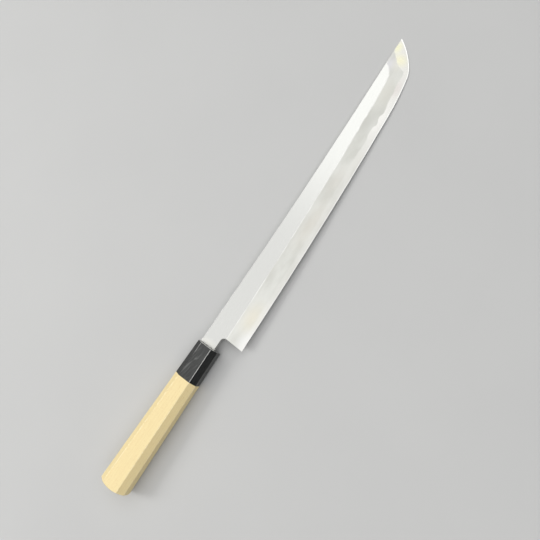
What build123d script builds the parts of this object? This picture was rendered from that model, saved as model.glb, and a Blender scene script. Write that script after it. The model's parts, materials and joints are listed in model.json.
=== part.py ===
from build123d import *
import math
import os

os.makedirs("parts", exist_ok=True)

# A long single-bevel slicing knife, in millimetres. While it is modelled its point is
# towards +X, its spine towards +Y and its bevelled side up. X starts at the ferrule's
# front face, and the handle's middle line is the X axis. At the end it is laid down.

# Blade
blade_length = 300.0      # heel to point
heel_depth = 34.4         # straight spine to heel
spine_height = 9.0        # straight spine above the handle's middle line
spine_rise = 4.95         # the point above the straight spine
spine_bow = 0.95          # sag of the rising spine under its chord
belly_bow = 1.5           # swell of the long edge beyond its chord
point_bow = 2.1           # swell of the turned-up edge beyond its chord
turn_radius = 25.0        # where the long edge turns up to the point
bevel_width = 16.4        # edge to ridge
ridge_turn_radius = 5.0   # where the ridge turns up to the spine
ridge_point_bow = 0.5     # swell of the ridge from there on
spine_thickness = 4.2     # at the ferrule
point_thickness = 1.9     # the spine's taper, run out to the point
flat_fall = 0.3           # the flat side is thinner by this at the ridge
edge_land = 0.15          # thickness left at the cutting edge
spine_round = 0.3         # on the spine's corner with the flat side

# Edge and spine stations, as shares of the blade's length from the heel and, for the
# edge, of the heel's depth under the straight spine
belly_shares = (0.783, 0.709)
corner_shares = (0.919, 0.532)
straight_spine_share = 0.275

# The ridge's stand-off from the heel, belly, corner and point, in bevel widths
ridge_shares = ((0.0, 1.0), (-0.07, 1.0), (-0.57, 0.84), (-1.5, -0.03))

# Neck and tang
neck_length = 12.7        # ferrule to heel
neck_height = 14.3
choil_lean = 1.4          # the heel's end leans back by this, from neck to heel
choil_radius = 4.0
machi_step = 0.3          # shoulder under the tang
tang_length = 104.0       # behind the ferrule's front face
tang_height = 10.4        # at the shoulder
tang_thickness = 3.6
tang_end_height = 6.0
tang_end_thickness = 2.2
tang_end_bevel = 1.8

# Hard steel under the iron, with its hollow-ground back
steel_thickness = 1.0
steel_start = 6.0         # in front of the ferrule
wheel_radius = 240.0      # of the hollow
rim_width = 1.8           # flat left round the hollow

# The hollow's two ends and the run-out of the wheel there, as shares of the blade's length
hollow_end_shares = (0.022, 0.968)
run_out_shares = (0.06, 0.05)
run_out_stations = 5      # round the quarter ellipse of each run-out
hollow_stations = 10      # even steps between the run-outs

# Handle, an eight-sided taper planed in one with the ferrule
handle_length = 147.5     # butt to the ferrule's front face
butt_height = 26.65
butt_width = 21.8
butt_facet = 5.48         # corner cut, measured along each side
front_height = 20.75
front_width = 18.56
front_facet = 5.11
arris_radius = 0.8
dome_radius = 28.0        # of the rounded butt

# Ferrule, tenon and seal
ferrule_length = 33.4
mouth_wall = 8.0          # horn left in front of the tenon
rim_chamfer = 0.25
tenon_radius = 7.2
tenon_chamfer = 0.8
tenon_end_gap = 0.4
glue_gap = 0.1            # round the tenon, and round the tang in horn and wood
tang_end_gap = 3.0        # air past the tang's end
seal_width = 1.0
seal_proud = 0.35         # the bead stands out from the neck by this
seal_corner_radius = 0.5

overrun = 6.0             # how far every cut runs past what it cuts

back_level = -spine_thickness / 2
point_x = neck_length + blade_length


def edge_place(shares):
    """The place at these shares of the blade's length and of the heel's depth."""
    return Vector(neck_length + shares[0] * blade_length, spine_height - shares[1] * heel_depth)


heel = Vector(neck_length, spine_height - heel_depth)
belly = edge_place(belly_shares)
corner = edge_place(corner_shares)
point = Vector(point_x, spine_height + spine_rise)
edge_places = (heel, belly, corner, point)
ridge_places = [place + Vector(along * bevel_width, up * bevel_width)
                for place, (along, up) in zip(edge_places, ridge_shares)]


def draw_edge(heel_end, belly_end, turn, tip, tip_bow):
    """Draws the long arc, the tighter arc that follows it, and the arc up to the tip."""
    long_arc = SagittaArc(heel_end, belly_end, -belly_bow)
    TangentArc(belly_end, turn, tangent=long_arc % 1)
    return SagittaArc(turn, tip, -tip_bow)


def grind_section(plane, places, tip_bow, radius):
    """All that is kept of one level when the bevel is ground: the blade's side of a line."""
    rear = seal_width - overrun
    with BuildSketch(plane) as section:
        with BuildLine():
            tip_arc = draw_edge(*places, tip_bow)
            past_tip = places[3] + (tip_arc % 1) * overrun
            Polyline(past_tip, (rear, spine_height + overrun), (rear, places[0].Y), places[0])
            Line(places[3], past_tip)
        make_face()
        fillet(section.vertices().sort_by_distance(places[2])[0], radius)
    return section.sketch


def flat_height(x, y):
    """Height of the flat side above the handle's middle line."""
    taper = (spine_thickness - point_thickness) * x / point_x
    fall = flat_fall * (spine_height - y) / (heel_depth - bevel_width)
    return back_level + spine_thickness - taper - fall


def tang_form(gap, end_gap):
    """The tang, or with gaps the hole that takes it."""
    root_middle = spine_height - neck_height + machi_step + tang_height / 2
    with BuildPart() as tang:
        with BuildSketch(Plane.YZ.offset(seal_width)):
            with Locations((root_middle, 0)):
                Rectangle(tang_height + 2 * gap, tang_thickness + 2 * gap)
        with BuildSketch(Plane.YZ.offset(-tang_length - end_gap)):
            Rectangle(tang_end_height + 2 * gap, tang_end_thickness + 2 * gap)
        loft(ruled=True)
        rear = tang.faces().sort_by(Axis.X)[0]
        chamfer(rear.edges().filter_by(Axis.Z), length=tang_end_bevel)
    return tang.part


# What grinding leaves: the bevel up to the ridge, and the flat side's plane beyond it
flat_origin = Vector(0, 0, flat_height(0, 0))
flat_along = Vector(point_x, 0, flat_height(point_x, 0)) - flat_origin
flat_up = Vector(0, spine_height, flat_height(0, spine_height)) - flat_origin
flat_plane = Plane(flat_origin, x_dir=flat_along, z_dir=flat_along.cross(flat_up))

with BuildPart() as ground_form:
    land_plane = Plane.XY.offset(back_level + edge_land)
    edge_level = grind_section(land_plane, edge_places, point_bow, turn_radius)
    ridge_level = grind_section(flat_plane, ridge_places, ridge_point_bow, ridge_turn_radius)
    loft(sections=[edge_level, ridge_level], ruled=True)
    extrude(edge_level, amount=-edge_land - overrun)
    extrude(ridge_level, amount=overrun)

# The whole blade with its tang, before it is told apart into iron and steel
with BuildPart() as blade_form:
    # Spine, neck and heel of the forged blank, seen from above
    with BuildSketch(Plane.XY.offset(back_level)) as outline:
        with BuildLine():
            neck_top = Vector(seal_width, spine_height)
            rise_start = Vector(neck_length + straight_spine_share * blade_length, spine_height)
            neck_end = Vector(heel.X + choil_lean, spine_height - neck_height)
            below_heel = heel - (neck_end - heel).normalized() * overrun
            Line(neck_top, rise_start)
            rise = SagittaArc(rise_start, point, -spine_bow)
            past_point = point + (rise % 1) * overrun
            Polyline(point, past_point, (past_point.X, below_heel.Y), below_heel, neck_end,
                     (seal_width, neck_end.Y), neck_top)
        make_face()
        fillet(outline.vertices().sort_by_distance(neck_end)[0], choil_radius)
    extrude(amount=spine_thickness + overrun)
    split(bisect_by=flat_plane, keep=Keep.BOTTOM)
    # The flat side's three edges along the spine are rounded before the bevel is ground
    flat_side = blade_form.faces().sort_by(Axis.Z)[-1]
    fillet(flat_side.edges().sort_by(Axis.Y)[-3:], spine_round)
    add(ground_form.part, mode=Mode.INTERSECT)
    add(tang_form(0, 0))

with BuildPart() as steel_layer:
    add(blade_form.part)
    split(bisect_by=Plane.XY.offset(back_level + steel_thickness), keep=Keep.BOTTOM)
    split(bisect_by=Plane.YZ.offset(steel_start), keep=Keep.TOP)

with BuildPart() as soft_iron_body:
    add(blade_form.part)
    add(steel_layer.part, mode=Mode.SUBTRACT)

# The back is ground hollow on a large wheel, inside a narrow flat rim
with BuildLine() as edge_line:
    draw_edge(*edge_places, point_bow)
with BuildLine() as spine_line:
    Line((neck_length, spine_height), rise_start)
    SagittaArc(rise_start, point, -spine_bow)


def hollow_places():
    """Places along edge and spine with the hollow's width there, all as shares."""
    turns = [math.pi / 2 * (station + 0.5) / run_out_stations for station in range(run_out_stations)]
    heel_end, point_end = hollow_end_shares
    heel_run, point_run = run_out_shares
    full_start = heel_end + heel_run
    full_length = point_end - point_run - full_start
    places = [(heel_end + heel_run * (1 - math.cos(turn)), math.sin(turn)) for turn in turns]
    places += [(full_start + full_length * step / hollow_stations, 1)
               for step in range(hollow_stations + 1)]
    places += [(point_end - point_run * (1 - math.cos(turn)), math.sin(turn))
               for turn in reversed(turns)]
    return places


def hollow_section(place_share, width_share):
    """One cut of the wheel, square across the blade from its edge to its spine."""
    lower = edge_line.wire() @ place_share
    upper = spine_line.wire() @ place_share
    across = upper - lower
    middle = (upper + lower) / 2 + Vector(0, 0, back_level)
    half = (across.length / 2 - rim_width) * width_share
    depth = wheel_radius - math.sqrt(wheel_radius**2 - half**2)
    cut_plane = Plane(middle, x_dir=across, z_dir=across.cross(Vector(0, 0, 1)))
    with BuildSketch(cut_plane) as section:
        with BuildLine():
            SagittaArc((-half, 0), (half, 0), depth)
            Polyline((half, 0), (half, -overrun), (-half, -overrun), (-half, 0))
        make_face()
    return section.sketch


with BuildPart() as edge_steel:
    add(steel_layer.part)
    loft(sections=[hollow_section(*place) for place in hollow_places()], ruled=True,
         mode=Mode.SUBTRACT)


def facet_reach(turn, height, width, facet):
    """From the middle line to one of the eight flats, counted in eighths of a turn."""
    corner_reach = (height / 2 + width / 2 - facet) / math.sqrt(2)
    return (height / 2, corner_reach, width / 2, corner_reach)[turn % 4]


def facet_planes():
    """The eight flats that the handle is planed to, each facing outwards."""
    planes = []
    for turn in range(8):
        outwards = Vector(0, 1, 0).rotate(Axis.X, 45 * turn)
        front_reach = facet_reach(turn, front_height, front_width, front_facet)
        butt_reach = facet_reach(turn, butt_height, butt_width, butt_facet)
        taper = Vector((butt_reach - front_reach) / handle_length, 0, 0)
        planes.append(Plane(outwards * front_reach, z_dir=outwards + taper))
    return planes


# Handle and ferrule are planed as one taper, and then told apart
with BuildPart() as handle_form:
    with BuildSketch(Plane.YZ):
        Rectangle(butt_height + overrun, butt_width + overrun)
    extrude(amount=-handle_length)
    for facet_plane in facet_planes():
        split(bisect_by=facet_plane, keep=Keep.BOTTOM)
    # Domed butt, wider than the handle's corners
    with BuildSketch(Plane.XY):
        with BuildLine():
            dome_depth = dome_radius - math.sqrt(dome_radius**2 - butt_height**2)
            rim = Vector(-handle_length + dome_depth, butt_height)
            RadiusArc((-handle_length, 0), rim, dome_radius)
            Polyline(rim, (0, butt_height), (0, 0), (-handle_length, 0))
        make_face()
    revolve(axis=Axis.X, mode=Mode.INTERSECT)
    long_edges = handle_form.edges().filter_by(lambda edge: edge.length > handle_length / 2)
    butt_edges = handle_form.faces().sort_by(Axis.X)[0].edges()
    fillet(long_edges + butt_edges, arris_radius)

with BuildPart() as wood_handle:
    add(handle_form.part)
    split(bisect_by=Plane.YZ.offset(-ferrule_length), keep=Keep.BOTTOM)
    # Tenon and tang hole
    with BuildSketch(Plane.YZ.offset(-ferrule_length)):
        Circle(tenon_radius)
    extrude(amount=ferrule_length - mouth_wall - tenon_end_gap)
    chamfer(wood_handle.faces().sort_by(Axis.X)[-1].edges(), length=tenon_chamfer)
    add(tang_form(glue_gap, tang_end_gap), mode=Mode.SUBTRACT)

with BuildPart() as horn_ferrule:
    add(handle_form.part)
    split(bisect_by=Plane.YZ.offset(-ferrule_length), keep=Keep.TOP)
    chamfer(horn_ferrule.faces().sort_by(Axis.X)[-1].edges(), length=rim_chamfer)
    # Bored from behind for the tenon, with a slot for the tang in front
    with BuildSketch(Plane.YZ.offset(-ferrule_length)):
        Circle(tenon_radius + glue_gap)
    extrude(amount=ferrule_length - mouth_wall, mode=Mode.SUBTRACT)
    add(tang_form(glue_gap, tang_end_gap), mode=Mode.SUBTRACT)

with BuildPart() as mouth_seal:
    with BuildSketch(Plane.YZ):
        with Locations((spine_height - neck_height / 2, 0)):
            RectangleRounded(neck_height + 2 * seal_proud, spine_thickness + 2 * seal_proud,
                             seal_corner_radius)
    extrude(amount=seal_width)
    add(tang_form(glue_gap, tang_end_gap), mode=Mode.SUBTRACT)

# Laid on its flat back, the knife rests on the ferrule's front edge and on its point
rest_front = Vector(-rim_chamfer, 0, -front_width / 2)
rest_along = Vector(point_x, 0, back_level) - rest_front
rest_plane = Plane(rest_front, x_dir=rest_along, z_dir=rest_along.cross(Vector(0, 1, 0)))

pieces = (soft_iron_body, edge_steel, wood_handle, horn_ferrule, mouth_seal)
for piece in pieces:
    piece.part.locate(rest_plane.location.inverse())

# The origin is on the table, under the middle of the whole knife
boxes = [piece.part.bounding_box() for piece in pieces]
middle_x = (min(box.min.X for box in boxes) + max(box.max.X for box in boxes)) / 2
middle_y = (min(box.min.Y for box in boxes) + max(box.max.Y for box in boxes)) / 2
table = min(box.min.Z for box in boxes)
for piece in pieces:
    piece.part.locate(Location((-middle_x, -middle_y, -table)) * piece.part.location)

soft_iron_body.part.label = "soft_iron_body"
export_step(soft_iron_body.part, "parts/soft_iron_body.step")
edge_steel.part.label = "edge_steel"
export_step(edge_steel.part, "parts/edge_steel.step")
wood_handle.part.label = "wood_handle"
export_step(wood_handle.part, "parts/wood_handle.step")
horn_ferrule.part.label = "horn_ferrule"
export_step(horn_ferrule.part, "parts/horn_ferrule.step")
mouth_seal.part.label = "mouth_seal"
export_step(mouth_seal.part, "parts/mouth_seal.step")
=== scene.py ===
import json
import math
import bpy
import bmesh
from mathutils import Euler, Matrix, Vector, noise


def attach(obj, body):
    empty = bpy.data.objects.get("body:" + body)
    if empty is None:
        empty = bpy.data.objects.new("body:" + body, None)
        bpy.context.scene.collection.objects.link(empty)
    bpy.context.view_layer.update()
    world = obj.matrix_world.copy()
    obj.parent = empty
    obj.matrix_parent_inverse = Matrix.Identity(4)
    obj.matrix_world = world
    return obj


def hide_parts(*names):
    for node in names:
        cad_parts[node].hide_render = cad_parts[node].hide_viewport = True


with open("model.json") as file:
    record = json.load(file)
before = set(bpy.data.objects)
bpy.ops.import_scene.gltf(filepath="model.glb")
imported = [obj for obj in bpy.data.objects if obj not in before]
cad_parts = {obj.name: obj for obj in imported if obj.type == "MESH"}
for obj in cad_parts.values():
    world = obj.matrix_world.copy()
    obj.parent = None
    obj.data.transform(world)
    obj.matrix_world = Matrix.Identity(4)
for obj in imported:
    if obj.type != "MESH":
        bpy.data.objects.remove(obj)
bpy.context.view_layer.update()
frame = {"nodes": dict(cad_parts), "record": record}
parts = frame["nodes"]
print("frame loaded:", ", ".join(sorted(parts)))

mm = 0.001

# The knife's own frame. It starts on the middle line at the horn's front face, level with the
# flat back: x to the point, y to the spine, z up from the back. The back's mount gives it.
knife = {
    "pointReach": 312.7,      # all in millimetres
    "neckLength": 12.7,       # horn to heel
    "mountPastHeel": 3.0,
    "spineHeight": 9.0,
    "neckHeight": 14.3,
    "neckThickness": 4.2,
    "pointThickness": 1.9,    # the spine's taper, run out to the point
    "flatFall": 0.3 / 18.0,   # the flat side falls by this towards the edge
}

backMount = next(m for m in frame["record"]["mounts"] if m["name"] == "back_flat")
upDirection = -Vector(backMount["axis"])
alongDirection = Vector((0, 1, 0)).cross(upDirection)
knifePlace = Matrix((alongDirection, (0, 1, 0), upDirection)).transposed().to_4x4()
startOfKnife = Vector(backMount["pos_m"])
startOfKnife -= alongDirection * (knife["neckLength"] + knife["mountPastHeel"]) * mm
knifePlace.translation = startOfKnife
rowToKnife = knifePlace.inverted()


# Helpers for wiring up materials

def newFinish(name):
    finish = bpy.data.materials.new(name)
    finish.use_nodes = True
    tree = finish.node_tree
    tree.nodes.clear()
    shader = tree.nodes.new("ShaderNodeBsdfPrincipled")
    output = tree.nodes.new("ShaderNodeOutputMaterial")
    tree.links.new(shader.outputs["BSDF"], output.inputs["Surface"])
    return finish, tree, shader


def dress(piece, finish):
    piece.data.materials.clear()
    piece.data.materials.append(finish)


def plug(tree, socket, value):
    if isinstance(value, bpy.types.NodeSocket):
        tree.links.new(value, socket)
    elif isinstance(value, tuple) and len(value) == 3 and len(socket.default_value) == 4:
        socket.default_value = (*value, 1.0)
    else:
        socket.default_value = value


def addNode(tree, kind, sockets=(), **settings):
    node = tree.nodes.new(kind)
    for name, value in settings.items():
        setattr(node, name, value)
    for name, value in dict(sockets).items():
        plug(tree, node.inputs[name], value)
    return node


def calc(tree, operation, *values):
    node = addNode(tree, "ShaderNodeMath", dict(enumerate(values)), operation=operation)
    return node.outputs[0]


def calcVector(tree, operation, *values):
    node = addNode(tree, "ShaderNodeVectorMath", dict(enumerate(values)), operation=operation)
    return node.outputs["Value" if operation == "LENGTH" else "Vector"]


def splitXyz(tree, vector):
    return addNode(tree, "ShaderNodeSeparateXYZ", {"Vector": vector}).outputs


# a smooth step from start to end as value goes from low to high. The looks below keep such
# limits as (low, high), (low, high, start) or (low, high, start, end)
def ramp(tree, value, low, high, start=0.0, end=1.0):
    limits = {"Value": value, "From Min": low, "From Max": high, "To Min": start, "To Max": end}
    return addNode(tree, "ShaderNodeMapRange", limits, interpolation_type="SMOOTHSTEP").outputs[0]


# noise runs from 0 to 1, and this spreads it evenly about 0
def centred(tree, value, spread):
    return calc(tree, "MULTIPLY_ADD", value, spread, -spread / 2)


# a Mix node's sockets for each kind of value: first, second and result
mixSockets = {"FLOAT": (2, 3, 0), "VECTOR": (4, 5, 1), "RGBA": (6, 7, 2)}


def mix(tree, share, first, second, kind="RGBA"):
    firstSocket, secondSocket, result = mixSockets[kind]
    values = {0: share, firstSocket: first, secondSocket: second}
    return addNode(tree, "ShaderNodeMix", values, data_type=kind).outputs[result]


# a surface's place in the knife's own frame, in millimetres
def knifeMillimetres(tree):
    place = addNode(tree, "ShaderNodeTexCoord").outputs["Object"]
    toKnife = {"Vector": place, "Scale": (1 / mm, 1 / mm, 1 / mm),
               "Rotation": rowToKnife.to_euler(), "Location": rowToKnife.to_translation() / mm}
    return addNode(tree, "ShaderNodeMapping", toKnife, vector_type="POINT").outputs["Vector"]


# how much a surface faces to the point, to the spine and up
def facingOf(tree):
    return splitXyz(tree, addNode(tree, "ShaderNodeTexCoord").outputs["Normal"])


# cloudy noise whose patches are about as large as grain, in the unit of place
def speckle(tree, place, grain, detail=3.0, shift=(0.0, 0.0, 0.0)):
    scale = tuple(1 / size for size in grain)
    stretch = addNode(tree, "ShaderNodeMapping",
                      {"Vector": place, "Location": shift, "Scale": scale})
    settings = {"Vector": stretch.outputs[0], "Scale": 1.0, "Detail": detail}
    return addNode(tree, "ShaderNodeTexNoise", settings).outputs["Fac"]


# 1 at a place on the knife, fading out to 0 at a distance from it
def patchAt(tree, place, middle, reach):
    offset = calcVector(tree, "SUBTRACT", place, middle)
    distance = calcVector(tree, "LENGTH", calcVector(tree, "DIVIDE", offset, reach))
    return ramp(tree, distance, 1.0, 0.0)


def tinted(tree, place, color, tints):
    for middle, reach, tint, strength in tints:
        share = calc(tree, "MULTIPLY", patchAt(tree, place, middle, reach), strength)
        color = mix(tree, share, color, tint)
    return color


# depth is in millimetres, base is a normal to start from other than the mesh's own
def addBump(tree, shader, height, depth, base=None):
    bump = addNode(tree, "ShaderNodeBump",
                   {"Height": height, "Strength": 1.0, "Distance": depth * mm})
    if base is not None:
        plug(tree, bump.inputs["Normal"], base)
    plug(tree, shader.inputs["Normal"], bump.outputs["Normal"])


# Blade: satin flat side, hazy iron on the bevel, brighter steel along the edge, and painted
# highlights on the keen edge and along the ridge
bladeLook = {
    "flatColor": (0.515, 0.515, 0.497),
    "ironColor": (0.470, 0.469, 0.437),
    "hazeColor": (0.541, 0.541, 0.512),
    "steelColor": (0.560, 0.553, 0.528),
    "edgeHighlightColor": (0.80, 0.80, 0.78),
    "ridgeHighlightColor": (0.70, 0.70, 0.68),
    "flatRoughness": 0.25,
    "ironRoughness": 0.42,
    "steelRoughness": 0.28,
    "flatFacing": (0.9965, 0.9985),       # facing up this much is the flat side
    "edgeHighlightHeights": (0.26, 0.15),          # the keen strip, painted brighter as a highlight, in mm over the back
    "ridgeDrops": (0.11, 0.03),           # the ridge's painted highlight, worn in patches, in mm under the flat side
    "ridgeNoise": {"grain": (7.0, 2.0, 2.0)},
    "ridgeHighlightPatches": (0.35, 0.65, 0.15, 0.9),
    # where the iron ends on the bevel: (place along the knife, height over the back)
    "weldLine": ((13, 0.95), (60, 1.05), (120, 0.96), (170, 1.05), (204, 1.08), (214, 0.98),
                 (221, 0.92), (226, 1.08), (230, 1.06), (234, 1.0), (238, 0.80), (243, 0.98),
                 (249, 0.74), (254, 0.80), (260, 0.88), (268, 0.83), (273, 0.87), (280, 0.80),
                 (287, 0.68), (291, 1.22), (298, 1.2), (303, 1.02), (313, 1.0)),
    "weldLimits": (320.0, 2.0),           # the line's chart reaches this far and high
    "weldNoise": {"grain": (4.0, 1.5, 1.5), "detail": 4.0},
    "weldRagged": 0.16,
    "weldSoftness": 0.05,
    "weldFade": (168.0, 250.0, 0.35),     # it comes out between two places, from this share
    "hazeNoise": {"grain": (22.0, 9.0, 9.0)},
    "hazeEdges": (0.3, 0.7),
    # tints are (middle, reach, colour, strength). The flat side is warmer by the ferrule, and
    # painted brighter there against the shade of the horn's wall
    "flatTintAndLight": (((1.5, 2, 0), (6.5, 14, 20), (0.595, 0.588, 0.545), 0.9),),
    # faint ones on the iron
    "ironTints": (((20, -24, 0), (20, 10, 20), (0.62, 0.62, 0.61), 0.8),
                  ((41, -17, 0), (22, 11, 20), (0.60, 0.565, 0.475), 0.65),
                  ((135, -13, 0), (38, 9, 20), (0.55, 0.52, 0.47), 0.45),
                  ((178, -10, 0), (24, 8, 20), (0.52, 0.495, 0.455), 0.4),
                  ((238, -4, 0), (30, 10, 20), (0.415, 0.413, 0.385), 0.6),
                  ((264, -2, 0), (22, 12, 20), (0.505, 0.495, 0.450), 0.6),
                  ((288, 9, 0), (10, 7, 20), (0.56, 0.55, 0.565), 0.8),
                  ((291, 3, 0), (10, 8, 20), (0.61, 0.595, 0.545), 0.7)),
    # on the steel: brighter before the turn as painted reflection, darker towards the point, and
    # straw coloured at the point
    "steelSheenAndTints": (((199, -16, 0), (20, 8, 20), (0.525, 0.518, 0.482), 0.9),
                   ((240, -9, 0), (24, 12, 20), (0.635, 0.625, 0.60), 0.8),
                   ((272, -7, 0), (14, 9, 20), (0.497, 0.470, 0.448), 0.9),
                   ((300, 0, 0), (32, 28, 20), (0.495, 0.487, 0.460), 1.0),
                   ((295, 4, 0), (9, 10, 20), (0.57, 0.55, 0.395), 0.8),
                   ((304, 12, 0), (9, 6, 20), (0.567, 0.556, 0.395), 0.9)),
    # polish: fine lines along the flat side, strokes across the bevel
    "hairlines": {"grain": (14.0, 0.16, 0.5), "detail": 5.0},
    "strokes": {"grain": (0.22, 5.0, 0.9), "detail": 5.0, "shift": (3.0, 0.0, 0.0)},
    "lineRoughness": 0.16,                # its spread from line to line
    "lineDepth": 0.004,
}


def weldHeight(tree, along):
    farthest, highest = bladeLook["weldLimits"]
    curve = addNode(tree, "ShaderNodeFloatCurve",
                    {"Value": calc(tree, "DIVIDE", along, farthest)})
    line = curve.mapping.curves[0]
    steps = [(x / farthest, height / highest) for x, height in bladeLook["weldLine"]]
    line.points[0].location = steps[0]
    line.points[1].location = steps[-1]
    for step in steps[1:-1]:
        line.points.new(*step)
    curve.mapping.update()
    return calc(tree, "MULTIPLY", curve.outputs[0], highest)


# 1 on the bevel next to the ridge, told by the drop under the flat side's plane
def ridgeStrip(tree, along, across, height):
    taper = (knife["neckThickness"] - knife["pointThickness"]) / knife["pointReach"]
    flat = calc(tree, "MULTIPLY_ADD", along, -taper, knife["neckThickness"])
    flat = calc(tree, "MULTIPLY_ADD", across, knife["flatFall"], flat)
    flat = calc(tree, "SUBTRACT", flat, knife["spineHeight"] * knife["flatFall"])
    return ramp(tree, calc(tree, "SUBTRACT", flat, height), *bladeLook["ridgeDrops"])


def makeBladeFinish(name):
    finish, tree, shader = newFinish(name)
    place = knifeMillimetres(tree)
    along, across, height = splitXyz(tree, place)
    onFlat = ramp(tree, facingOf(tree)["Z"], *bladeLook["flatFacing"])
    # iron or steel, by the height over the back
    ragged = speckle(tree, place, **bladeLook["weldNoise"])
    weld = calc(tree, "ADD", weldHeight(tree, along),
                centred(tree, ragged, bladeLook["weldRagged"]))
    softness = bladeLook["weldSoftness"]
    onSteel = ramp(tree, calc(tree, "SUBTRACT", weld, height), -softness, softness)
    onSteel = calc(tree, "MULTIPLY", onSteel, ramp(tree, along, *bladeLook["weldFade"]))
    # painted highlight: the keen edge is coloured brighter, for the light it catches
    onEdgeHighlight = ramp(tree, height, *bladeLook["edgeHighlightHeights"])
    # painted highlight along the ridge, broken into worn patches
    wornAndHighlit = ramp(tree, speckle(tree, place, **bladeLook["ridgeNoise"]), *bladeLook["ridgeHighlightPatches"])
    onRidge = calc(tree, "MULTIPLY", ridgeStrip(tree, along, across, height), wornAndHighlit)
    # colours
    haze = ramp(tree, speckle(tree, place, **bladeLook["hazeNoise"]), *bladeLook["hazeEdges"])
    iron = mix(tree, haze, bladeLook["ironColor"], bladeLook["hazeColor"])
    iron = tinted(tree, place, iron, bladeLook["ironTints"])
    steel = tinted(tree, place, bladeLook["steelColor"], bladeLook["steelSheenAndTints"])
    flat = tinted(tree, place, bladeLook["flatColor"], bladeLook["flatTintAndLight"])
    color = mix(tree, onSteel, iron, steel)
    color = mix(tree, onEdgeHighlight, color, bladeLook["edgeHighlightColor"])
    color = mix(tree, onRidge, color, bladeLook["ridgeHighlightColor"])
    plug(tree, shader.inputs["Base Color"], mix(tree, onFlat, color, flat))
    shader.inputs["Metallic"].default_value = 1.0
    # polish
    hairlines = speckle(tree, place, **bladeLook["hairlines"])
    strokes = speckle(tree, place, **bladeLook["strokes"])
    lines = mix(tree, onFlat, strokes, hairlines, kind="FLOAT")
    roughness = mix(tree, onSteel, bladeLook["ironRoughness"], bladeLook["steelRoughness"],
                    kind="FLOAT")
    roughness = mix(tree, onFlat, roughness, bladeLook["flatRoughness"], kind="FLOAT")
    roughness = calc(tree, "ADD", roughness, centred(tree, lines, bladeLook["lineRoughness"]))
    plug(tree, shader.inputs["Roughness"], roughness)
    addBump(tree, shader, lines, bladeLook["lineDepth"])
    return finish


dress(parts["soft_iron_body"], makeBladeFinish("groundIron"))
dress(parts["edge_steel"], makeBladeFinish("polishedSteel"))
print("blade finished")


# Handle: pale, straight-grained wood, bare and finely sanded
handleLook = {
    "paleWood": (0.777, 0.644, 0.347),
    "grainWood": (0.719, 0.560, 0.278),
    "poreWood": (0.56, 0.37, 0.165),
    # arrises: burnished lighter, and painted lighter still as a highlight
    "arrisHighlightWood": (0.93, 0.83, 0.60),
    "pith": (-70.0, -38.0),       # the tree's middle, off to one side of the handle
    "ringWidth": 2.1,
    "ringSharpness": 2.5,
    "ringNoise": {"grain": (120.0, 14.0, 14.0), "detail": 2.0},
    "ringWander": 5.0,
    "ringShare": 0.32,            # how much rings and fibres darken the wood
    "fibreShare": 0.42,
    "fibres": {"grain": (18.0, 0.28, 0.28), "detail": 5.0},
    "fibreEdges": (0.35, 0.7),
    "fibreRoughness": (0.2, 0.8, 0.50, 0.66),
    "fibreRelief": 0.5,           # beside that of a pore
    "reliefDepth": 0.02,
    "pores": {"grain": (2.4, 0.11, 0.11), "detail": 1.0, "shift": (7.0, 3.0, 1.0)},
    "poreEdges": (0.63, 0.74, 0.0, 0.75),
    "arrisNoise": {"grain": (1.6, 1.2, 1.2), "detail": 2.0},
    "arrisWearAndHighlight": (0.42, 0.58),
    "arrisTurn": (0.12, 0.34),    # share of the turn from one flat to the next
    "arrisEnds": (0.30, 0.12),    # facing to an end this much is no arris
    "buttMiddle": (-147.5, 0.0, 2.1),
    "buttReach": (3.4, 3.4, 3.4),
    "buttEdges": (0.1, 0.5),
}


# 1 on the small rounds between the eight flats of wood and horn, 0 on the flats and the ends
def onArris(tree, facing):
    turn = calc(tree, "ARCTAN2", facing["Y"], facing["Z"])
    eighth = calc(tree, "DIVIDE", turn, math.pi / 4)
    offFlat = calc(tree, "ABSOLUTE", calc(tree, "SUBTRACT", eighth, calc(tree, "ROUND", eighth)))
    lengthwise = ramp(tree, calc(tree, "ABSOLUTE", facing["X"]), *handleLook["arrisEnds"])
    return calc(tree, "MULTIPLY", ramp(tree, offFlat, *handleLook["arrisTurn"]), lengthwise)


def growthRings(tree, place):
    across, height = splitXyz(tree, place)[1:]
    across = calc(tree, "SUBTRACT", across, handleLook["pith"][0])
    height = calc(tree, "SUBTRACT", height, handleLook["pith"][1])
    reach = calc(tree, "SQRT", calc(tree, "ADD", calc(tree, "MULTIPLY", across, across),
                                    calc(tree, "MULTIPLY", height, height)))
    wander = speckle(tree, place, **handleLook["ringNoise"])
    wander = calc(tree, "MULTIPLY", wander, handleLook["ringWander"])
    turns = calc(tree, "DIVIDE", calc(tree, "ADD", reach, wander), handleLook["ringWidth"])
    return calc(tree, "POWER", calc(tree, "FRACT", turns), handleLook["ringSharpness"])


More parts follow.
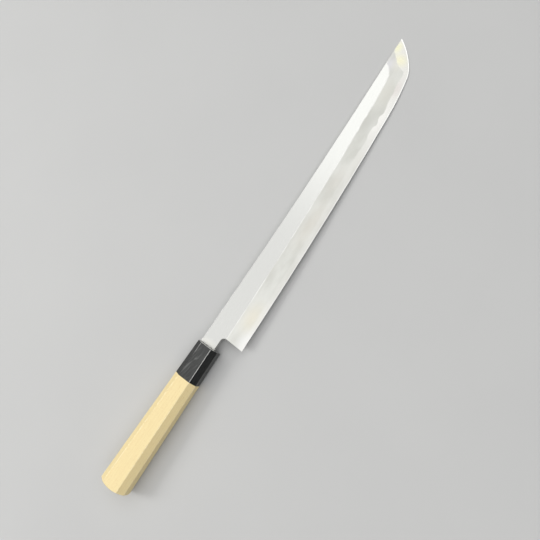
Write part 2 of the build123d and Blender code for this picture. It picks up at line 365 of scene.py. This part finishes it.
def makeWoodFinish():
    finish, tree, shader = newFinish("bareWood")
    place = knifeMillimetres(tree)
    fibres = speckle(tree, place, **handleLook["fibres"])
    tone = calc(tree, "MULTIPLY", growthRings(tree, place), handleLook["ringShare"])
    tone = calc(tree, "MULTIPLY_ADD", ramp(tree, fibres, *handleLook["fibreEdges"]),
                handleLook["fibreShare"], tone)
    color = mix(tree, tone, handleLook["paleWood"], handleLook["grainWood"])
    onPore = ramp(tree, speckle(tree, place, **handleLook["pores"]), *handleLook["poreEdges"])
    color = mix(tree, onPore, color, handleLook["poreWood"])
    # the arrises are worn lighter and painted lighter as a highlight
    wornAndHighlit = ramp(tree, speckle(tree, place, **handleLook["arrisNoise"]), *handleLook["arrisWearAndHighlight"])
    wornAndHighlit = calc(tree, "MULTIPLY", onArris(tree, facingOf(tree)), wornAndHighlit)
    color = mix(tree, wornAndHighlit, color, handleLook["arrisHighlightWood"])
    plug(tree, shader.inputs["Base Color"], color)
    plug(tree, shader.inputs["Roughness"], ramp(tree, fibres, *handleLook["fibreRoughness"]))
    # in the middle of the butt the smooth shading leans to one side, so it is flat shaded there
    patch = patchAt(tree, place, handleLook["buttMiddle"], handleLook["buttReach"])
    surface = addNode(tree, "ShaderNodeNewGeometry").outputs
    straightened = mix(tree, ramp(tree, patch, *handleLook["buttEdges"]), surface["Normal"],
                       surface["True Normal"], kind="VECTOR")
    relief = calc(tree, "MULTIPLY", fibres, handleLook["fibreRelief"])
    relief = calc(tree, "SUBTRACT", relief, onPore)
    addBump(tree, shader, relief, handleLook["reliefDepth"], base=straightened)
    return finish


dress(parts["wood_handle"], makeWoodFinish())
print("handle finished")


# Ferrule: polished dark horn with faint grey veins along it
hornLook = {
    "darkHorn": (0.0125, 0.0127, 0.0125),
    "veinHorn": (0.130, 0.133, 0.128),
    "wornHighlitHorn": (0.72, 0.715, 0.69),           # along the arrises, worn and painted as a highlight
    "veins": {"grain": (13.0, 1.3, 1.3), "detail": 6.0, "shift": (2.0, 0.4, 0.0)},
    "veinEdges": (0.50, 0.74),
    "veinLeast": (-38.0, -4.0, 0.15, 0.24),    # between two places, the share at each
    "veinMost": 0.5,
    "veinSlope": 0.28,                         # towards the front they drop to the edge side
    "veinNoise": {"grain": (30.0, 9.0, 9.0), "detail": 1.0, "shift": (0.0, 5.0, 0.0)},
    "veinSwirl": 10.0,
    # the plainest veins: (middle, reach, strength), their y counted along the slope
    "plainVeins": (((-24.0, -3.7, 11.4), (14.0, 0.9, 12.0), 0.75),
                   ((-13.5, -3.7, 11.4), (3.2, 0.9, 12.0), 0.8),
                   ((-6.0, 0.3, 11.4), (7.0, 1.1, 12.0), 0.55),
                   ((-9.0, -6.6, 11.4), (10.0, 0.9, 12.0), 0.4)),
    "broadFlats": (0.75, 0.95, 0.1, 1.0),      # facing up or down this much shows the veins
    "fibres": {"grain": (7.0, 0.2, 0.2)},
    "fibreRoughness": (0.3, 0.7, 0.22, 0.34),
    "fibreDepth": 0.004,
    "gloss": 0.30,
    "arrisWearAndHighlight": (0.25, 0.6, 0.5, 1.0),        # more where there are veins
    "upperHighlight": (0.6, 0.8, 0.2, 1.0),         # painted highlight: more on the upper arrises, which face the light
    "spineSide": (-0.05, 0.05),                # facing the spine this much
    "spineHighlight": (-14.0, -4.0, 0.0, 0.7),      # the painted highlight on the spine's side shows only near the front
    "frontFacing": (0.9, 0.95),
    "frontRoughness": 0.03,
    "frontCoatIor": 1.7,
}


# the place as the veins see it, sloped and stirred, so that straight grain comes out bent
def alongVeins(tree, place):
    stirred = centred(tree, speckle(tree, place, **hornLook["veinNoise"]), hornLook["veinSwirl"])
    lift = calc(tree, "MULTIPLY_ADD", splitXyz(tree, place)["X"], hornLook["veinSlope"], stirred)
    lift = addNode(tree, "ShaderNodeCombineXYZ", {"Y": lift}).outputs[0]
    return calcVector(tree, "ADD", place, lift)


# how much each arris of the horn is worn and painted as a highlight
def hornWearAndHighlight(tree, along, facing, veins):
    spineHighlight = ramp(tree, along, *hornLook["spineHighlight"])
    onSpineSide = ramp(tree, facing["Y"], *hornLook["spineSide"])
    wornAndHighlit = calc(tree, "MULTIPLY", onArris(tree, facing), ramp(tree, veins, *hornLook["arrisWearAndHighlight"]))
    wornAndHighlit = calc(tree, "MULTIPLY", wornAndHighlit, mix(tree, onSpineSide, 1.0, spineHighlight, kind="FLOAT"))
    return calc(tree, "MULTIPLY", wornAndHighlit, ramp(tree, facing["Z"], *hornLook["upperHighlight"]))


def makeHornFinish():
    finish, tree, shader = newFinish("darkHorn")
    place = knifeMillimetres(tree)
    along = splitXyz(tree, place)["X"]
    facing = facingOf(tree)
    bent = alongVeins(tree, place)
    veins = speckle(tree, bent, **hornLook["veins"])
    onVein = ramp(tree, veins, *hornLook["veinEdges"], ramp(tree, along, *hornLook["veinLeast"]),
                  hornLook["veinMost"])
    for middle, reach, strength in hornLook["plainVeins"]:
        share = calc(tree, "MULTIPLY", patchAt(tree, bent, middle, reach), strength)
        onVein = calc(tree, "MAXIMUM", onVein, share)
    # the veins show on the broad flats and hardly on the chamfers, which leaves the chamfers dark
    # as painted shade
    onBroad = ramp(tree, calc(tree, "ABSOLUTE", facing["Z"]), *hornLook["broadFlats"])
    onVein = calc(tree, "MULTIPLY", onVein, onBroad)
    color = mix(tree, onVein, hornLook["darkHorn"], hornLook["veinHorn"])
    # the arrises are worn lighter and painted lighter as a highlight
    color = mix(tree, hornWearAndHighlight(tree, along, facing, veins), color, hornLook["wornHighlitHorn"])
    plug(tree, shader.inputs["Base Color"], color)
    # the front face, round the blade's neck, is polished like a mirror
    onFront = ramp(tree, facing["X"], *hornLook["frontFacing"])
    fibres = speckle(tree, place, **hornLook["fibres"])
    roughness = mix(tree, onFront, ramp(tree, fibres, *hornLook["fibreRoughness"]),
                    hornLook["frontRoughness"], kind="FLOAT")
    plug(tree, shader.inputs["Roughness"], roughness)
    shader.inputs["Specular IOR Level"].default_value = hornLook["gloss"]
    plug(tree, shader.inputs["Coat Weight"], onFront)
    shader.inputs["Coat IOR"].default_value = hornLook["frontCoatIor"]
    shader.inputs["Coat Roughness"].default_value = hornLook["frontRoughness"]
    addBump(tree, shader, fibres, hornLook["fibreDepth"])
    return finish


dress(parts["horn_ferrule"], makeHornFinish())
print("ferrule finished")


# Seal: a pale bead pressed in by hand round the neck
sealLook = {
    "width": 0.95,             # sizes in millimetres
    "proud": 0.34,
    "cornerRadius": 0.5,
    "tangHeight": 10.6,
    "tangThickness": 3.8,
    "sideSteps": 28,
    "cornerSteps": 6,
    "widthSteps": 8,
    "unevenness": 0.2,         # share of how far it stands proud
    "unevenAlong": 2.0,        # how fast that changes along and round the neck
    "unevenAround": 0.9,
    "color": (0.93, 0.92, 0.87),
    "dirtColor": (0.46, 0.43, 0.37),
    "blotches": {"grain": (0.5, 0.6, 0.6), "detail": 4.0},
    "blotchEdges": (0.58, 0.78, 0.0, 0.35),
    "jointColor": (0.29, 0.28, 0.25),
    "jointReach": (0.5, 0.2),  # an uneven dark line where the bead meets the horn: dirt in the joint, and painted shade
    "jointNoise": {"grain": (0.5, 1.7, 1.0), "detail": 4.0},
    "jointEdges": (0.36, 0.60),
    "roughness": 0.5,
    "blotchDepth": 0.03,
}


# a rounded rectangle's points, in order round it
def roundedOutline(height, thickness, radius, sideSteps, cornerSteps):
    outline = []
    corners = ((1, 1), (-1, 1), (-1, -1), (1, -1))
    for turn, (sideY, sideZ) in enumerate(corners):
        middle = Vector((sideY * (height / 2 - radius), sideZ * (thickness / 2 - radius)))
        for step in range(cornerSteps + 1):
            angle = math.pi / 2 * (turn + step / cornerSteps)
            outline.append(middle + radius * Vector((math.cos(angle), math.sin(angle))))
        nextY, nextZ = corners[(turn + 1) % len(corners)]
        nextMiddle = Vector((nextY * (height / 2 - radius), nextZ * (thickness / 2 - radius)))
        ahead = math.pi / 2 * (turn + 1)
        offset = radius * Vector((math.cos(ahead), math.sin(ahead)))
        for step in range(1, sideSteps):
            outline.append(middle.lerp(nextMiddle, step / sideSteps) + offset)
    return outline


# the bead's outside over the neck's outline, from the horn to its front
def beadRings(outline, middle):
    rings = []
    for step in range(sealLook["widthSteps"] + 1):
        share = step / sealLook["widthSteps"]
        x = share * sealLook["width"]
        bulge = sealLook["proud"] * math.sqrt(max(0.0, math.sin(math.pi * share)))
        ring = []
        for point in outline:
            wander = noise.noise(Vector((x * sealLook["unevenAlong"],
                                         point.x * sealLook["unevenAround"],
                                         point.y * sealLook["unevenAround"])))
            swell = bulge * (1 - sealLook["unevenness"] + sealLook["unevenness"] * wander)
            ring.append((x, *(middle + point + point.normalized() * swell)))
        rings.append(ring)
    return rings


def makeSeal():
    outline = roundedOutline(knife["neckHeight"], knife["neckThickness"],
                             sealLook["cornerRadius"], sealLook["sideSteps"],
                             sealLook["cornerSteps"])
    middle = Vector((knife["spineHeight"] - knife["neckHeight"] / 2, knife["neckThickness"] / 2))
    hole = Vector((sealLook["tangHeight"] / knife["neckHeight"],
                   sealLook["tangThickness"] / knife["neckThickness"]))
    rings = beadRings(outline, middle)
    for x in (sealLook["width"], 0.0):    # and back through the hole round the tang
        rings.append([(x, middle.x + point.x * hole.x, middle.y + point.y * hole.y)
                      for point in outline])
    mesh = bmesh.new()
    loops = [[mesh.verts.new(knifePlace @ (Vector(place) * mm)) for place in ring]
             for ring in rings]
    for first, second in zip(loops, loops[1:] + loops[:1]):
        for index in range(len(outline)):
            after = (index + 1) % len(outline)
            mesh.faces.new((first[index], second[index], second[after], first[after]))
    bmesh.ops.recalc_face_normals(mesh, faces=mesh.faces)
    data = bpy.data.meshes.new("neck_seal")
    mesh.to_mesh(data)
    mesh.free()
    data.polygons.foreach_set("use_smooth", [True] * len(data.polygons))
    seal = bpy.data.objects.new("neck_seal", data)
    bpy.context.scene.collection.objects.link(seal)
    return seal


def makeSealFinish():
    finish, tree, shader = newFinish("paleWax")
    place = knifeMillimetres(tree)
    blotches = speckle(tree, place, **sealLook["blotches"])
    color = mix(tree, ramp(tree, blotches, *sealLook["blotchEdges"]), sealLook["color"],
                sealLook["dirtColor"])
    # a dark line at the horn: partly dirt in the joint, partly painted shade
    uneven = ramp(tree, speckle(tree, place, **sealLook["jointNoise"]), *sealLook["jointEdges"])
    atHorn = ramp(tree, splitXyz(tree, place)["X"], *sealLook["jointReach"])
    color = mix(tree, calc(tree, "MULTIPLY", atHorn, uneven), color, sealLook["jointColor"])
    plug(tree, shader.inputs["Base Color"], color)
    shader.inputs["Roughness"].default_value = sealLook["roughness"]
    addBump(tree, shader, blotches, sealLook["blotchDepth"])
    return finish


seal = makeSeal()
dress(seal, makeSealFinish())
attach(seal, "root")
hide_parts("mouth_seal")
print("seal made")


# Studio: a round pale floor, one large soft light overhead, small ones for the blade's
# highlights, and a dim sky that is paler along the horizon, like the walls of a light room
studio = {
    "floorRadius": 4.8,
    "floorSides": 96,
    "floorColor": (0.49, 0.49, 0.483),
    "floorMottle": (0.46, 0.46, 0.455),
    "mottleNoise": {"grain": (0.12, 0.12, 0.12), "detail": 4.0},    # in metres
    "floorRoughness": 0.8,
    "skyColor": (0.95, 0.97, 1.0),
    "horizonFade": (0.10, 0.55, 0.42, 0.11),    # two heights, and the sky's brightness at each
    # each light: place, aimed at, size, watts, colour
    "softboxes": {
        "ceilingBox": ((0.0, 0.15, 4.8), (0, 0.15, 0), (10.8, 10.8), 478.8, (1.0, 1.0, 1.0)),
        "spineSideBox": ((-0.7, 1.1, 1.0), (0.0, 0, 0), (0.5, 0.5), 9.5, (1.0, 0.99, 0.97)),
        "pointBox": ((0.70, 0.42, 1.25), (0.70, 0.42, 0), (0.8, 0.6), 0.95, (0.98, 1.0, 0.98)),
        "heelBox": ((-0.45, -0.30, 1.25), (-0.45, -0.30, 0), (0.7, 0.6), 0.85, (1.0, 1.0, 0.99)),
    },
}


def makeFloor():
    turns = [2 * math.pi * side / studio["floorSides"] for side in range(studio["floorSides"])]
    rim = [(studio["floorRadius"] * math.cos(turn), studio["floorRadius"] * math.sin(turn), 0)
           for turn in turns]
    mesh = bpy.data.meshes.new("floor")
    mesh.from_pydata(rim, [], [tuple(range(len(rim)))])
    floor = bpy.data.objects.new("floor", mesh)
    bpy.context.scene.collection.objects.link(floor)
    finish, tree, shader = newFinish("paleFloor")
    place = addNode(tree, "ShaderNodeTexCoord").outputs["Object"]
    mottle = speckle(tree, place, **studio["mottleNoise"])
    color = mix(tree, mottle, studio["floorColor"], studio["floorMottle"])
    plug(tree, shader.inputs["Base Color"], color)
    shader.inputs["Roughness"].default_value = studio["floorRoughness"]
    dress(floor, finish)


def addSoftbox(name, location, target, size, power, color):
    light = bpy.data.lights.new(name, "AREA")
    light.shape = "RECTANGLE"
    light.size, light.size_y = size
    light.energy = power
    light.color = color
    box = bpy.data.objects.new(name, light)
    box.location = location
    box.rotation_euler = (Vector(target) - Vector(location)).to_track_quat("-Z", "Y").to_euler()
    box.visible_camera = False
    bpy.context.scene.collection.objects.link(box)


def makeSky():
    sky = bpy.data.worlds.new("sky")
    sky.use_nodes = True
    tree = sky.node_tree
    height = splitXyz(tree, addNode(tree, "ShaderNodeTexCoord").outputs["Generated"])["Z"]
    background = tree.nodes["Background"].inputs
    plug(tree, background["Color"], studio["skyColor"])
    plug(tree, background["Strength"], ramp(tree, height, *studio["horizonFade"]))
    bpy.context.scene.world = sky


makeFloor()
for name, settings in studio["softboxes"].items():
    addSoftbox(name, *settings)
makeSky()
bpy.context.scene.view_settings.view_transform = "Standard"
print("studio lit")


# Camera, as the photograph was taken
view = {
    "location": (0.01558, -0.18031, 0.57705),
    "turn": (8.854, 15.266, -54.711),   # degrees
    "focalPixels": 700.0,
    "imagePixels": 540.0,
    "sensorWidth": 36.0,
    "clipStart": 0.01,
}
camera = bpy.data.objects.new("camera", bpy.data.cameras.new("camera"))
camera.location = view["location"]
camera.rotation_euler = Euler([math.radians(angle) for angle in view["turn"]])
camera.data.sensor_width = view["sensorWidth"]
camera.data.lens = view["sensorWidth"] * view["focalPixels"] / view["imagePixels"]
camera.data.clip_start = view["clipStart"]
bpy.context.scene.collection.objects.link(camera)
bpy.context.scene.camera = camera
print("camera placed")
